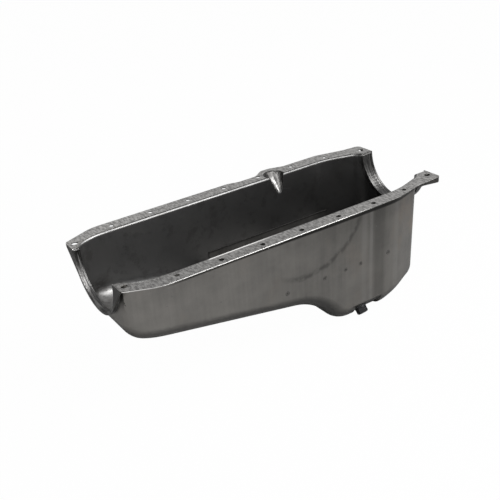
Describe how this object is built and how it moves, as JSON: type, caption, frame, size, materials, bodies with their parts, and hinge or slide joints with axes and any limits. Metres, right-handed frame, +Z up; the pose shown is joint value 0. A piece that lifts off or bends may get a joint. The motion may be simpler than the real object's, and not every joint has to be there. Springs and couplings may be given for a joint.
{
  "type": "engine oil pan",
  "caption": "Drawn sheet-steel oil pan with a rear sump, flanged bolt rails, round seal arches, an inner baffle tray and a screwed drain plug.",
  "frame": {"origin": "centre of the rail's bolt pattern, on the gasket plane, where the crankshaft axis crosses it", "axes": "+X along the crankshaft from the front seal arch to the rear seal arch, +Y across the pan towards the dipstick pocket, +Z up out of the open top"},
  "size_m": [0.541, 0.233, 0.2017],
  "materials": {
    "pan_steel": "bare drawn sheet, lightly oiled, satin",
    "tray_steel": "bare sheet, satin",
    "nut_steel": "bare turned steel",
    "gasket": "dark moulded sealing washer",
    "plug_steel": "black oxide steel"
  },
  "bodies": {
    "pan": {"pan_shell": "pan_steel", "baffle_tray": "tray_steel", "drain_weld_nut": "nut_steel"},
    "gasket": {"drain_gasket": "gasket"},
    "plug": {"drain_plug": "plug_steel"}
  },
  "joints": [
    {"name": "plug_travel", "type": "slide", "parent": "pan", "child": "gasket", "axis": [0, -0.7071, -0.7071], "range_m": [0, 0.0123]},
    {"name": "plug_turn", "type": "hinge", "parent": "gasket", "child": "plug", "pos_m": [0.127, -0.07006, -0.18764], "axis": [0, -0.7071, -0.7071], "range_deg": [0, 3500]}
  ],
  "couplings": [
    {"joint": "plug_turn", "follows": "plug_travel", "rad_per_m": 4947.4}
  ]
}
